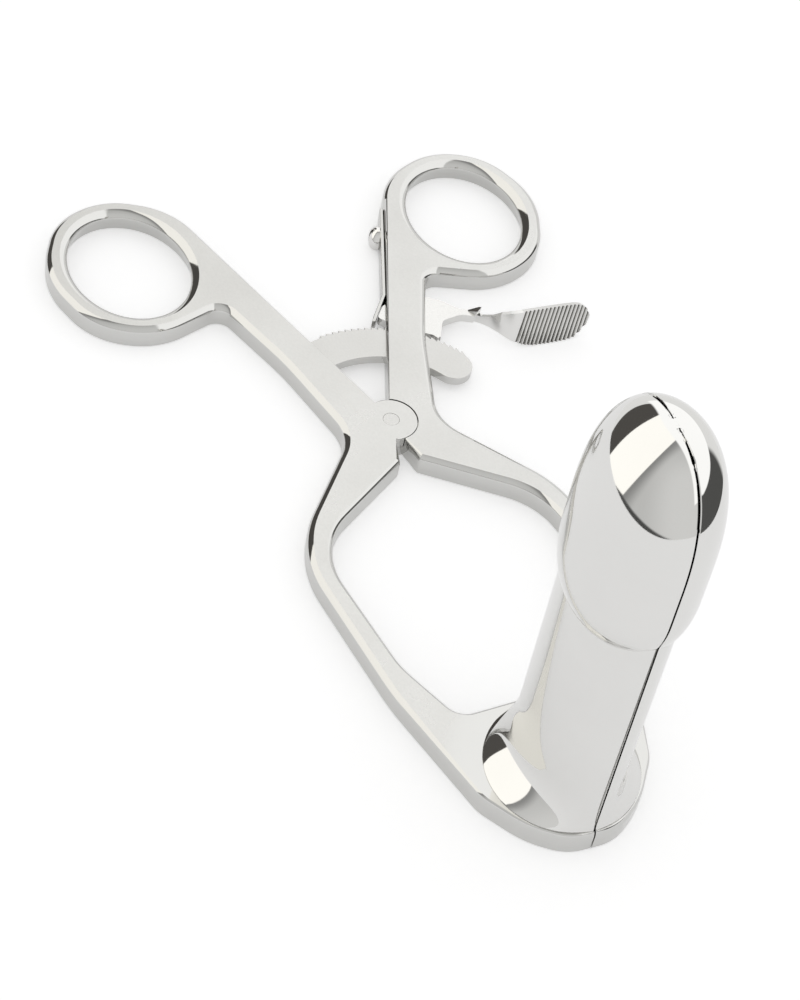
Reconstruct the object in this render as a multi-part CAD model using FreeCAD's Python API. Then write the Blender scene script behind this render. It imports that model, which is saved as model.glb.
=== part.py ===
import FreeCAD, Part
import math
import os

from FreeCAD import Placement, Rotation, Vector

# Self-retaining speculum with two blades, ring handles and a ratchet, all sizes in mm.
# The origin is on the pivot axis, in the plane that the closed instrument lies on.
# The handles point to +Y, the blades stand up in +Z at -Y, and the shapes are
# drawn for the right lever, which is mirrored in the plane x = 0 for the left one.

# Levers: flat forgings with a polished bevel round the upper face
THICKNESS = 5.0
BEVEL_DEPTH = 1.4
SOLE_BEVEL = 0.6
RING_X, RING_Y = 37.9, 54.0
RING_HALF_WIDTH, RING_HALF_LENGTH = 16.7, 19.5
RING_LEAN = -4.4
HOLE_HALF_WIDTH, HOLE_HALF_LENGTH = 14.0, 16.8
HOLE_BEVEL = 1.6
HOLE_RELIEF = 1.3
RING_SIDES = (115, 70, 25, -20, -65, -111)
RING_BEVEL = 1.2
MEDIAL_X, MEDIAL_Y = 2.2, 7.0
MEDIAL_ANGLE = 70.3
MEDIAL_BEVEL = 1.0

# Outline corners of the right lever: x, y, corner radius and width of the bevel
SHANK_OUTER = ((22.9, 38.6, 3.2, 1.3), (15.7, 20.5, 60.0, 1.3), (9.6, -1.8, 10.0, 1.3))
ARM_OUTER = ((29.9, -26.8, 24.0, 1.3), (24.2, -64.0, 60.0, 1.2), (16.9, -89.2, 9.0, 0.5))
WINDOW = ((-2.0, -70.4, 0.3, 0.9), (13.9, -71.3, 4.2, 0.9), (20.1, -58.0, 20.0, 0.9), (25.4, -27.0, 16.0, 1.1),
          (2.0, -10.8, 0.8, 0.9), (0.9, -5.0, 0.4, 0.0), (0.9, -1.0, 0.3, 0.0))

# Half-lap joint of the levers and its flush pin
LAP_RADIUS = 5.4
LAP_GAP = 0.15
LAP_FACE_GAP = 0.1
PIVOT_PIN_RADIUS = 1.7
RUNNING_GAP = 0.05

# Blades: two half shells with an oval section, a flared root and a rounded head
BLADE_Y = -86.6
SHAFT_X, SHAFT_Y = 8.6, 13.95
WALL = 1.5
SEAM_GAP = 0.3
FLARE_X, FLARE_Y = 6.0, 0.75
FLARE_HEIGHT, FLARE_SCALE, FLARE_POWER = 10.0, 3.2, 1.3
HEAD_X, HEAD_Y = 11.1, 15.2
HEAD_FOOT, HEAD_WAIST, HEAD_DOME, HEAD_TOP = 52.0, 64.0, 71.0, 95.9
HEAD_FOOT_X, HEAD_FOOT_Y = 6.7, 9.2
DOME_POWER, DOME_LAST = 2.6, 84.0
MOUTH_BEVEL = 0.9
FLARE_STEPS, HEAD_STEPS = 5, 4
RIM_RADIUS, RIM_BEVEL = 15.2, 0.4

# Ratchet bar: an arc about the pivot, with saw teeth on its outer edge
BAR_INNER, BAR_ROOT, BAR_TIP = 18.8, 26.6, 27.2
BAR_LOW, BAR_HIGH = 1.5, 3.5
BAR_NOSE, BAR_FIXED = 33.4, 113.0
TOOTH_PITCH = 3.0
TOOTH_FIRST, TOOTH_COUNT = 35.6, 23
TOOTH_LAND = 0.5
BAR_RIVET_RADIUS = 1.0
BAR_RIVET_R, BAR_RIVET_INSET = 23.2, 2.5

# Release lever: the pawl, whose neck is bent down to the ribbed pad for a finger
PAWL_X, PAWL_Y = 13.4, 26.6
PAWL_LIFT = 5.2
PAWL_BITE = 0.35
PAWL_GAP = 0.2
PAWL_NOTCH, PAWL_HEEL_END = 5, 64.0
PAWL_PIN_RADIUS, PAWL_PIN_COVER = 1.0, 0.7
TAIL_X, TAIL_Y = 8.5, 29.4
PAWL_OUTLINE = ((TAIL_X, TAIL_Y, 0.8, 0), (11.2, 32.3, 1.2, 0), (19.9, 32.5, 3.0, 0), (23.5, 29.9, 6.0, 0),
                (26.2, 26.4, 4.0, 0), (29.7, 24.5, 0.2, 0), (28.4, 23.3, 0.2, 0), (25.8, 24.7, 3.0, 0),
                (21.3, 24.3, 2.0, 0), (18.1, 19.2, 0.3, 0), (14.9, 20.9, 0.4, 0), (11.2, 26.2, 2.0, 0))
POCKET = ((5.0, 24.0), (6.8, 34.6), (25.0, 34.6), (20.0, 18.0))
SLOT_GAP = 0.15
SLOT_ROOM = 0.4

# The pad leans back. Its outlines are drawn from its foot, along it and up its face or across it,
# and cut out of blanks that reach further than the pad on both sides.
PAD_X, PAD_Y, PAD_Z = 39.9, 16.85, 0.5
PAD_LEAN = 18.0
PAD_FACE = ((-12.6, 5.6, 0.2, 0), (-7.4, 8.0, 7.0, 0), (10.7, 7.6, 3.0, 0), (12.6, 3.7, 3.0, 0),
            (8.6, -0.5, 6.0, 0), (-1.0, -0.5, 8.0, 0), (-8.6, 3.9, 9.0, 0), (-12.6, 3.9, 0.2, 0))
PAD_THICKNESS = 1.4
NECK_X, NECK_ANGLE = -6.9, 57.4
NECK_LENGTH, NECK_BEND = 10.7, 5.0
RIB_COUNT, RIB_PITCH, RIB_DEPTH = 17, 0.95, 0.3
RIB_START, RIB_LEAN = -4.6, 16.0
PAD_BLANK = 12.0

# Leaf spring along the inner side of the right shank, and its screw
SPRING_THICKNESS, SPRING_WIDTH = 0.7, 3.6
SPRING_ABOVE, SPRING_BELOW = 7.7, 19.0
SPRING_LIFT = 0.1
SPRING_HOOK, SPRING_CURL = 2.0, 0.5
SCREW_R = 55.3
SCREW_HEAD_RADIUS, SCREW_HEAD_HEIGHT, SCREW_HEAD_BEVEL = 2.6, 2.3, 0.6
SCREW_RADIUS, SCREW_DEPTH = 1.1, 5.0
SCREW_SLOT_WIDTH, SCREW_SLOT_DEPTH = 0.7, 0.9

UP = Vector(0, 0, 1)
MIDDLE = 90.0
TOP_CREST = THICKNESS - BEVEL_DEPTH
MID = THICKNESS / 2


def polar(radius, angle, z=0.0):
    """Point at a radius and an angle in degrees about the pivot axis."""
    turn = math.radians(angle)
    return Vector(radius * math.cos(turn), radius * math.sin(turn), z)


def inset_corners(corners, amount):
    """Moves each corner inward by its own bevel times the amount, on a clockwise outline."""
    moved = []
    count = len(corners)
    for i, (x, y, radius, bevel) in enumerate(corners):
        before, after = corners[i - 1], corners[(i + 1) % count]
        d1 = Vector(x - before[0], y - before[1], 0).normalize()
        d2 = Vector(after[0] - x, after[1] - y, 0).normalize()
        n1, n2 = Vector(d1.y, -d1.x, 0), Vector(d2.y, -d2.x, 0)
        shift = (n1 + n2) * (bevel * amount / (1 + n1.dot(n2)))
        convex = d1.cross(d2).z < 0
        if radius is not None:
            radius = max(radius - bevel * amount, 0.2) if convex else radius + bevel * amount
        moved.append((x + shift.x, y + shift.y, radius, bevel))
    return moved


def rounded_wire(corners, z):
    """Closed outline of straight lines and tangent arcs. A radius of None is the largest that fits."""
    count = len(corners)
    points = [Vector(x, y, z) for x, y, radius, bevel in corners]
    ends = []
    for i in range(count):
        here, before, after = points[i], points[i - 1], points[(i + 1) % count]
        d1, d2 = (here - before).normalize(), (after - here).normalize()
        turn = d1.getAngle(d2)
        room = 0.48 * min((here - before).Length, (after - here).Length)
        radius = corners[i][2]
        length = room if radius is None else min(radius * math.tan(turn / 2), 2 * room)
        radius = length / math.tan(turn / 2)
        bulge = radius * (1 / math.cos(turn / 2) - 1)
        middle = here + (d2 - d1).normalize() * bulge
        ends.append((here - d1 * length, middle, here + d2 * length))
    edges = []
    for i in range(count):
        start, middle, stop = ends[i]
        edges.append(Part.Arc(start, middle, stop).toShape())
        edges.append(Part.LineSegment(stop, ends[(i + 1) % count][0]).toShape())
    return Part.Wire(edges)


def oval_wire(cx, cy, half_x, half_y, z, lean=0.0):
    """Ellipse in two halves that part at its +Y and -Y ends, turned by the lean in degrees."""
    long_along_x = half_x > half_y
    ellipse = Part.Ellipse(Vector(0, 0, 0), max(half_x, half_y), min(half_x, half_y))
    first = math.pi / 2 if long_along_x else 0.0
    halves = [Part.ArcOfEllipse(ellipse, first + math.pi * side, first + math.pi * (side + 1)).toShape()
              for side in (0, 1)]
    wire = Part.Wire(halves)
    wire.Placement = Placement(Vector(cx, cy, z), Rotation(UP, lean if long_along_x else lean + 90))
    return wire


def half_oval(half_x, half_y, z):
    """Half of an oval on the left of the blade axis, closed by a straight line along the seam."""
    long_along_x = half_x > half_y
    ellipse = Part.Ellipse(Vector(0, 0, 0), max(half_x, half_y), min(half_x, half_y))
    first = math.pi / 2 if long_along_x else 0.0
    arc = Part.ArcOfEllipse(ellipse, first, first + math.pi).toShape()
    arc.Placement = Placement(Vector(-SEAM_GAP / 2, BLADE_Y, z), Rotation(UP, 0 if long_along_x else 90))
    ends = [vertex.Point for vertex in arc.Vertexes]
    return Part.Wire([arc, Part.LineSegment(ends[-1], ends[0]).toShape()])


def half_column(half_x, half_y, low, high):
    """Upright column over one half of an oval."""
    return Part.Face(half_oval(half_x, half_y, low)).extrude(Vector(0, 0, high - low))


def half_form(levels):
    """Solid through half ovals at a row of levels: half width, half length and height."""
    return Part.makeLoft([half_oval(*level) for level in levels], True, True)


def ring_corner(first, second):
    """Corner where two tangent lines of the ring meet, given the angles of their normals."""
    lines = []
    for angle in (first, second):
        local = math.radians(angle - RING_LEAN)
        reach = math.hypot(RING_HALF_WIDTH * math.cos(local), RING_HALF_LENGTH * math.sin(local))
        normal = math.radians(angle)
        c, s = math.cos(normal), math.sin(normal)
        lines.append((c, s, reach + RING_X * c + RING_Y * s))
    (a1, b1, c1), (a2, b2, c2) = lines
    det = a1 * b2 - a2 * b1
    return (c1 * b2 - c2 * b1) / det, (a1 * c2 - a2 * c1) / det


def rim_corner(first, second):
    """Corner where two tangent lines of the round flange rim meet."""
    middle = math.radians((first + second) / 2)
    reach = RIM_RADIUS / math.cos(math.radians((second - first) / 2))
    return reach * math.cos(middle), BLADE_Y + reach * math.sin(middle)


def lever_corners():
    """Clockwise outline of the right lever at its widest level: x, y, radius and bevel."""
    medial = math.tan(math.radians(MEDIAL_ANGLE))
    ring = [(*ring_corner(first, second), None, RING_BEVEL)
            for first, second in zip(RING_SIDES, RING_SIDES[1:])]
    # the line of the inner side of the shank runs on into the ring
    top_x, top_y = ring[0][:2]
    slope = math.tan(math.radians(RING_SIDES[0] - 90))
    y = (top_y + slope * (MEDIAL_X - MEDIAL_Y / medial - top_x)) / (1 - slope / medial)
    x = MEDIAL_X + (y - MEDIAL_Y) / medial
    shank = [(MEDIAL_X - (MEDIAL_Y - 1.0) / medial, 1.0, 0.3, 0.0), (x, y, None, MEDIAL_BEVEL)]
    rim = [(*rim_corner(-56, -32), None, RIM_BEVEL), (*rim_corner(-90, -56), None, RIM_BEVEL),
           (-2.0, BLADE_Y - RIM_RADIUS, 0.3, RIM_BEVEL)]
    return shank + ring + list(SHANK_OUTER) + list(ARM_OUTER) + rim + list(WINDOW)


def ring_hole():
    """Finger hole of the right ring, narrowest at the level of the bevel's edge."""
    spans = ((-1.0, HOLE_RELIEF), (TOP_CREST, 0.0), (THICKNESS, HOLE_BEVEL),
             (THICKNESS + 1.0, HOLE_BEVEL * (1 + 1 / BEVEL_DEPTH)))
    wires = []
    for z, growth in spans:
        half_x = HOLE_HALF_WIDTH - HOLE_BEVEL + growth
        half_y = HOLE_HALF_LENGTH - HOLE_BEVEL + growth
        wires.append(oval_wire(RING_X, RING_Y, half_x, half_y, z, RING_LEAN))
    return Part.makeLoft(wires, True, True)


def lever_blank():
    """Right lever before the joint is cut: ring, shank, arm and half flange."""
    corners = lever_corners()
    levels = ((0.0, SOLE_BEVEL), (SOLE_BEVEL, 0.0), (TOP_CREST, 0.0), (THICKNESS, 1.0))
    wires = [rounded_wire(inset_corners(corners, amount), z) for z, amount in levels]
    blank = Part.makeLoft(wires, True, True)
    blank = blank.cut(ring_hole())
    seat = half_column(SHAFT_X, SHAFT_Y, -1, THICKNESS + 1)
    blank = blank.cut(seat.mirror(Vector(0, 0, 0), Vector(1, 0, 0)))
    reach = 2 * RIM_RADIUS
    corner = Vector(SEAM_GAP / 2 - reach, BLADE_Y - reach, -reach)
    return blank.cut(Part.makeBox(reach, 2 * reach, 2 * reach, corner))


def disc(radius, low, high):
    """Round plate about the pivot axis."""
    return Part.makeCylinder(radius, high - low, Vector(0, 0, low))


def lap(blank, low, high):
    """Gives a lever its half of the joint: the eye between low and high, and room for the other one."""
    free = disc(LAP_RADIUS + LAP_GAP, -1, THICKNESS + 1)
    web = blank.common(disc(LAP_RADIUS + LAP_GAP + 1, low, high))
    return blank.cut(free).fuse([web.fuse(disc(LAP_RADIUS, low, high))]).removeSplitter()


def bar_blank(inner, outer, start, stop, low, high):
    """Flat sector of a ring about the pivot."""
    middle = (start + stop) / 2
    edges = [Part.Arc(polar(outer, start, low), polar(outer, middle, low), polar(outer, stop, low)).toShape(),
             Part.LineSegment(polar(outer, stop, low), polar(inner, stop, low)).toShape(),
             Part.Arc(polar(inner, stop, low), polar(inner, middle, low), polar(inner, start, low)).toShape(),
             Part.LineSegment(polar(inner, start, low), polar(outer, start, low)).toShape()]
    return Part.Face(Part.Wire(edges)).extrude(Vector(0, 0, high - low))


def tooth_row(growth, low, high, spread=0.0):
    """Saw teeth on the outer edge of the bar, steep towards the left lever."""
    teeth = []
    for number in range(TOOTH_COUNT):
        steep = TOOTH_FIRST + number * TOOTH_PITCH + spread
        gentle = steep - TOOTH_PITCH - 2 * spread
        base = BAR_ROOT - 1.0
        points = [polar(base, gentle, low), polar(BAR_ROOT + growth, gentle, low),
                  polar(BAR_TIP + growth, steep - TOOTH_LAND, low), polar(BAR_TIP + growth, steep, low),
                  polar(base, steep, low)]
        face = Part.Face(Part.makePolygon(points + points[:1]))
        teeth.append(face.extrude(Vector(0, 0, high - low)))
    return teeth


def ratchet_bar():
    """Toothed arc, rounded at its free end and let into the left shank at the other."""
    half = (BAR_ROOT - BAR_INNER) / 2
    body = bar_blank(BAR_INNER, BAR_ROOT, BAR_NOSE, BAR_FIXED, BAR_LOW, BAR_HIGH)
    nose = Part.makeCylinder(half, BAR_HIGH - BAR_LOW, polar(BAR_INNER + half, BAR_NOSE, BAR_LOW))
    bar = body.fuse([nose] + tooth_row(0.0, BAR_LOW, BAR_HIGH)).removeSplitter()
    return bar.cut(bar_rivet())


def bar_rivet():
    """Rivet that holds the root of the bar in the left shank, flush with the sole."""
    return Part.makeCylinder(BAR_RIVET_RADIUS, BAR_HIGH, polar(BAR_RIVET_R, BAR_FIXED - BAR_RIVET_INSET))


def left_lever():
    """Left lever: the upper half of the joint, with a mortise for the ratchet bar."""
    blank = lever_blank().mirror(Vector(0, 0, 0), Vector(1, 0, 0))
    lever = lap(blank, MID + LAP_FACE_GAP / 2, THICKNESS)
    mortise = bar_blank(BAR_INNER, BAR_ROOT, MIDDLE, BAR_FIXED, BAR_LOW, BAR_HIGH)
    lever = lever.cut(mortise).cut(bar_rivet())
    return lever.cut(pivot_pin())


def right_lever():
    """Right lever: the lower half of the joint, slotted for the bar and the pawl."""
    lever = lap(lever_blank(), 0.0, MID - LAP_FACE_GAP / 2)
    lever = lever.cut(disc(PIVOT_PIN_RADIUS + RUNNING_GAP, -1, THICKNESS + 1))
    low, high = BAR_LOW - SLOT_GAP, BAR_HIGH + SLOT_GAP
    passage = bar_blank(BAR_INNER - SLOT_ROOM, BAR_TIP + SLOT_ROOM, 0, MIDDLE, low, high)
    corners = [Vector(x, y, low) for x, y in POCKET]
    pocket = Part.Face(Part.makePolygon(corners + corners[:1])).extrude(Vector(0, 0, high - low))
    return lever.cut([passage, pocket, release_lever_pin(), screw_shank()])


def pivot_pin():
    """Flush pin fixed in the left lever. The right lever turns on it."""
    return Part.makeCylinder(PIVOT_PIN_RADIUS, THICKNESS)


def flare_half_sizes(height):
    """Half sizes of the flared root at a height above the flange."""
    spread = math.exp(-((height / FLARE_SCALE) ** FLARE_POWER))
    return SHAFT_X + FLARE_X * spread, SHAFT_Y + FLARE_Y * spread


def flare_levels():
    """Trumpet-shaped root that spreads from the shaft onto the flange."""
    levels = []
    for step in range(FLARE_STEPS):
        height = FLARE_HEIGHT * (step / FLARE_STEPS) ** 1.5
        levels.append((*flare_half_sizes(height), THICKNESS + height))
    return levels + [(SHAFT_X, SHAFT_Y, THICKNESS + FLARE_HEIGHT)]


def head_levels(inset):
    """Rounded head: a swelling from its foot to the waist, then a dome. The inset gives the hollow."""
    foot_x, foot_y, half_x, half_y = HEAD_FOOT_X, HEAD_FOOT_Y, HEAD_X, HEAD_Y
    low, top = HEAD_FOOT + inset, HEAD_TOP - inset
    levels = []
    for step in range(HEAD_STEPS):
        turn = math.pi / 2 * step / HEAD_STEPS
        swell = math.sin(turn)
        levels.append((foot_x + (half_x - foot_x) * swell - inset, foot_y + (half_y - foot_y) * swell - inset,
                       HEAD_WAIST - (HEAD_WAIST - low) * math.cos(turn)))
    levels.append((half_x - inset, half_y - inset, HEAD_WAIST))
    for step in range(2 * HEAD_STEPS + 1):
        turn = math.radians(DOME_LAST) * step / (2 * HEAD_STEPS)
        share = math.cos(turn) ** (2 / DOME_POWER)
        height = HEAD_DOME + (top - HEAD_DOME) * math.sin(turn) ** (2 / DOME_POWER)
        levels.append(((half_x - inset) * share, (half_y - inset) * share, height))
    return levels


def left_blade():
    """Half shell on the left of the seam: root in the flange, flare, shaft and head."""
    root = half_column(SHAFT_X, SHAFT_Y, 0, THICKNESS)
    shaft = half_form(flare_levels() + [(SHAFT_X, SHAFT_Y, HEAD_FOOT), (SHAFT_X, SHAFT_Y, HEAD_WAIST)])
    outside = root.fuse(shaft).fuse(half_form(head_levels(0.0)))
    inner_x, inner_y = SHAFT_X - WALL, SHAFT_Y - WALL
    levels = (-1, THICKNESS, THICKNESS + FLARE_HEIGHT, HEAD_FOOT, HEAD_WAIST)
    channel = half_form([(inner_x, inner_y, z) for z in levels])
    hollow = channel.fuse(half_form(head_levels(WALL)))
    mouth = half_form([(inner_x + growth, inner_y + growth, z)
                       for z, growth in ((-MOUTH_BEVEL, 2 * MOUTH_BEVEL), (2 * MOUTH_BEVEL, -MOUTH_BEVEL))])
    return outside.cut(hollow).cut(mouth)


def about_pawl(shape, angle):
    """Turns a shape about the pin of the release lever."""
    turned = shape.copy()
    turned.rotate(Vector(PAWL_X, PAWL_Y, 0), UP, angle)
    return turned


def prism(corners, height):
    """Plate of a given height over an outline of rounded corners in the XY plane."""
    return Part.Face(rounded_wire(corners, 0)).extrude(Vector(0, 0, height))


def pad():
    """Neck and finger pad: a bent strip cut to a leaf shape, with grooves in the face that is pressed."""
    turn = math.radians(NECK_ANGLE)
    along, across = Vector(-math.cos(turn), math.sin(turn), 0), Vector(math.sin(turn), math.cos(turn), 0)
    near = Vector(NECK_X, 0, 0)
    far = near + Vector(PAD_THICKNESS * math.tan(turn / 2), PAD_THICKNESS, 0)
    tip = max(x for x, y, radius, bevel in PAD_FACE) + 1
    root = near + along * NECK_LENGTH
    corners = [(root, 0.2), (root + across * PAD_THICKNESS, 0.2), (far, NECK_BEND - PAD_THICKNESS),
               (Vector(tip, PAD_THICKNESS, 0), 0.1), (Vector(tip, 0, 0), 0.1), (near, NECK_BEND)]
    strip = prism([(point.x, point.y, radius, 0) for point, radius in corners], 2 * PAD_BLANK)
    strip.translate(Vector(0, 0, -PAD_BLANK))
    leaf = prism(PAD_FACE, 2 * PAD_BLANK)
    leaf.rotate(Vector(0, 0, 0), Vector(1, 0, 0), 90)
    leaf.translate(Vector(0, PAD_BLANK, 0))
    grooves = []
    slant = math.tan(math.radians(RIB_LEAN))
    for number in range(RIB_COUNT):
        x = RIB_START + RIB_PITCH * number
        points = [Vector(x - RIB_DEPTH, 0, 0), Vector(x, RIB_DEPTH, 0), Vector(x + RIB_DEPTH, 0, 0)]
        groove = Part.Face(Part.makePolygon(points + points[:1]))
        grooves.append(groove.extrude(Vector(slant * PAD_BLANK, 0, PAD_BLANK)))
    leaf_strip = strip.common(leaf).cut(grooves)
    leaf_strip.rotate(Vector(0, 0, 0), Vector(1, 0, 0), -PAD_LEAN)
    leaf_strip.translate(Vector(PAD_X, PAD_Y, PAD_Z))
    return leaf_strip


def release_lever():
    """Pawl and pad in one piece, at rest with the teeth just clear of the bar."""
    plate = Part.Face(rounded_wire(PAWL_OUTLINE, BAR_LOW)).extrude(Vector(0, 0, BAR_HIGH - BAR_LOW))
    plate = plate.cut(disc(BAR_TIP - PAWL_BITE, BAR_LOW - 1, BAR_HIGH + 1))
    teeth_end = TOOTH_FIRST + PAWL_NOTCH * TOOTH_PITCH
    heel = bar_blank(BAR_ROOT, BAR_TIP + PAWL_GAP, teeth_end, PAWL_HEEL_END, BAR_LOW - 1, BAR_HIGH + 1)
    plate = plate.cut([heel] + tooth_row(PAWL_GAP, BAR_LOW - 1, BAR_HIGH + 1, PAWL_GAP))
    lever = about_pawl(plate, PAWL_LIFT).fuse(pad()).removeSplitter()
    hole = Part.makeCylinder(PAWL_PIN_RADIUS + RUNNING_GAP, THICKNESS, Vector(PAWL_X, PAWL_Y, 0))
    return lever.cut(hole)


def release_lever_pin():
    """Pin of the release lever, pressed in from the sole and blind under the upper face."""
    return Part.makeCylinder(PAWL_PIN_RADIUS, THICKNESS - PAWL_PIN_COVER, Vector(PAWL_X, PAWL_Y, 0))


def medial_point(distance, outward, z):
    """Point beside the inner edge of the right shank: distance along it from the pivot."""
    turn = math.radians(MEDIAL_ANGLE)
    base = Vector(MEDIAL_X - MEDIAL_Y / math.tan(turn), 0, z)
    along = Vector(math.cos(turn), math.sin(turn), 0)
    return base + along * distance + Vector(-along.y, along.x, 0) * outward


def screw_shank():
    """Threaded part of the spring's screw, square to the side of the shank."""
    start = medial_point(SCREW_R, SPRING_THICKNESS, MID)
    inward = medial_point(SCREW_R, 0, MID) - start
    return Part.makeCylinder(SCREW_RADIUS, SCREW_DEPTH, start, inward)


def spring_screw():
    """Screw with a pan head, bevelled at the edge, and a straight slot."""
    start = medial_point(SCREW_R, SPRING_THICKNESS, MID)
    outward = (start - medial_point(SCREW_R, 0, MID)).normalize()
    radius, low = SCREW_HEAD_RADIUS, SCREW_HEAD_HEIGHT - SCREW_HEAD_BEVEL
    head_shape = Part.makeCylinder(radius, low).fuse(
        Part.makeCone(radius, radius - SCREW_HEAD_BEVEL, SCREW_HEAD_BEVEL, Vector(0, 0, low)))
    corner = Vector(-radius, -SCREW_SLOT_WIDTH / 2, SCREW_HEAD_HEIGHT - SCREW_SLOT_DEPTH)
    head_shape = head_shape.cut(Part.makeBox(2 * radius, SCREW_SLOT_WIDTH, SCREW_HEAD_HEIGHT, corner))
    head_shape.Placement = Placement(start, Rotation(UP, outward))
    return head_shape.fuse(screw_shank())


def leaf_spring():
    """Strip under the screw. It leaves the shank to bend round the tail of the release lever."""
    low, high = MID - SPRING_WIDTH / 2, MID + SPRING_WIDTH / 2
    top, bend = SCREW_R + SPRING_ABOVE, SCREW_R - SPRING_BELOW
    base = medial_point(0, 0, MID)
    tail = about_pawl(Part.Vertex(TAIL_X, TAIL_Y, MID), PAWL_LIFT).Point - base
    reach = tail.dot((medial_point(1, 0, MID) - base))
    lift = tail.dot((medial_point(0, 1, MID) - base)) + SPRING_LIFT
    inner = [(top, 0), (bend, 0), (reach, lift), (reach - SPRING_HOOK, lift + SPRING_CURL)]
    outer = [(distance, outward + SPRING_THICKNESS) for distance, outward in inner]
    points = [medial_point(distance, outward, low) for distance, outward in inner + outer[::-1]]
    strip = Part.Face(Part.makePolygon(points + points[:1])).extrude(Vector(0, 0, high - low))
    return strip.cut(screw_shank())


def main():
    os.makedirs("parts", exist_ok=True)
    half = left_blade()
    pieces = {
        "left_lever": left_lever(),
        "right_lever": right_lever(),
        "left_blade": half,
        "right_blade": half.mirror(Vector(0, 0, 0), Vector(1, 0, 0)),
        "pivot_pin": pivot_pin(),
        "ratchet_bar": ratchet_bar(),
        "ratchet_bar_rivet": bar_rivet(),
        "release_lever": release_lever(),
        "release_lever_pin": release_lever_pin(),
        "leaf_spring": leaf_spring(),
        "spring_screw": spring_screw(),
    }
    for name, shape in pieces.items():
        print(name, "solids", len(shape.Solids), "volume", round(shape.Volume, 1), "valid", shape.isValid())
        shape.exportStep("parts/" + name + ".step")


main()
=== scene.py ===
import math

import bmesh
import bpy
from mathutils import Matrix, Quaternion, Vector


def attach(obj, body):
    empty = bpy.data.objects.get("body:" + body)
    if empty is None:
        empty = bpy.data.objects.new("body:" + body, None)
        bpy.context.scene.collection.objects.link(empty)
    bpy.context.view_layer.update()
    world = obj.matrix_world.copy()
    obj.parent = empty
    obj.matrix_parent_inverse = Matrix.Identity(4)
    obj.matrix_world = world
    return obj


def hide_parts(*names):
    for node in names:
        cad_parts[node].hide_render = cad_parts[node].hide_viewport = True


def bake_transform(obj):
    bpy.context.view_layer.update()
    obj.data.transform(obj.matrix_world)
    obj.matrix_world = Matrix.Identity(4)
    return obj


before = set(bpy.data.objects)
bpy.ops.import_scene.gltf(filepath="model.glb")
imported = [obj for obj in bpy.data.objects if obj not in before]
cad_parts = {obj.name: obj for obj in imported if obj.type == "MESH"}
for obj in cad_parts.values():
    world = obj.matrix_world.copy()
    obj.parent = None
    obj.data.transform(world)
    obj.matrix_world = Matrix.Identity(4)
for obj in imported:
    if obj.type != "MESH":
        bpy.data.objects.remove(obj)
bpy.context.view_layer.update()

# The camera looks down on the rings and the blades from the front left,
# as a long lens does on a product table, and it is rolled a little.
view_azimuth, view_elevation, view_roll = math.radians(30.45), math.radians(48.09), math.radians(12.44)
forward = Vector((math.sin(view_azimuth) * math.cos(view_elevation),
                  math.cos(view_azimuth) * math.cos(view_elevation),
                  -math.sin(view_elevation)))
camera_data = bpy.data.cameras.new("camera")
camera_data.lens = 90
camera = bpy.data.objects.new("camera", camera_data)
bpy.context.collection.objects.link(camera)
camera.location = (-0.1704, -0.3001, 0.3664)
camera.rotation_mode = "QUATERNION"
camera.rotation_quaternion = forward.to_track_quat("-Z", "Y") @ Quaternion((0, 0, 1), view_roll)
bpy.context.scene.camera = camera

# The table is a small sheet of white card. It stays white for the lens and in the steel,
# keeps the soft shadow that the instrument throws, and ends where the polish shows its edge.
table_middle, table_reach = (0.015, -0.005, -0.0001), (0.225, 0.34)
bpy.ops.object.select_all(action="DESELECT")
bpy.ops.mesh.primitive_circle_add(vertices=160, radius=1, fill_type="NGON", location=table_middle)
table_card = bpy.context.object
table_card.name = "table_card"
table_card.scale = (*table_reach, 1)
bpy.ops.object.transform_apply(location=True, rotation=True, scale=True)
card_material = bpy.data.materials.new("white_card")
card_material.use_nodes = True
nodes, links = card_material.node_tree.nodes, card_material.node_tree.links
nodes.clear()
paper = nodes.new("ShaderNodeBsdfDiffuse")
paper.inputs["Color"].default_value = (0.86, 0.86, 0.86, 1)
glow = nodes.new("ShaderNodeEmission")
path = nodes.new("ShaderNodeLightPath")
seen = nodes.new("ShaderNodeMath")
seen.operation = "MULTIPLY_ADD"
seen.inputs[1].default_value = 0.35
links.new(path.outputs["Is Camera Ray"], seen.inputs[0])
shown = nodes.new("ShaderNodeMath")
shown.operation = "MULTIPLY"
shown.inputs[1].default_value = 0.20
links.new(path.outputs["Is Glossy Ray"], shown.inputs[0])
links.new(shown.outputs[0], seen.inputs[2])
links.new(seen.outputs[0], glow.inputs["Strength"])
both = nodes.new("ShaderNodeAddShader")
card_out = nodes.new("ShaderNodeOutputMaterial")
links.new(paper.outputs[0], both.inputs[0])
links.new(glow.outputs[0], both.inputs[1])
links.new(both.outputs[0], card_out.inputs["Surface"])
table_card.data.materials.append(card_material)

# The studio round the table: a long softbox from the left over the top, a second one on the
# right, a dim front and a dark gap above the far edge of the table. The lens sees it all white.
world = bpy.data.worlds.new("studio")
bpy.context.scene.world = world
world.use_nodes = True
nodes, links = world.node_tree.nodes, world.node_tree.links
nodes.clear()
direction = nodes.new("ShaderNodeTexCoord")


def facing(axis, start, stop):
    """Mask that rises from 0 to 1 as the direction turns towards an axis."""
    dot = nodes.new("ShaderNodeVectorMath")
    dot.operation = "DOT_PRODUCT"
    dot.inputs[1].default_value = Vector(axis).normalized()
    links.new(direction.outputs["Generated"], dot.inputs[0])
    ramp = nodes.new("ShaderNodeMapRange")
    ramp.interpolation_type = "SMOOTHSTEP"
    ramp.inputs["From Min"].default_value = start
    ramp.inputs["From Max"].default_value = stop
    links.new(dot.outputs["Value"], ramp.inputs["Value"])
    return ramp.outputs["Result"]


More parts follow.
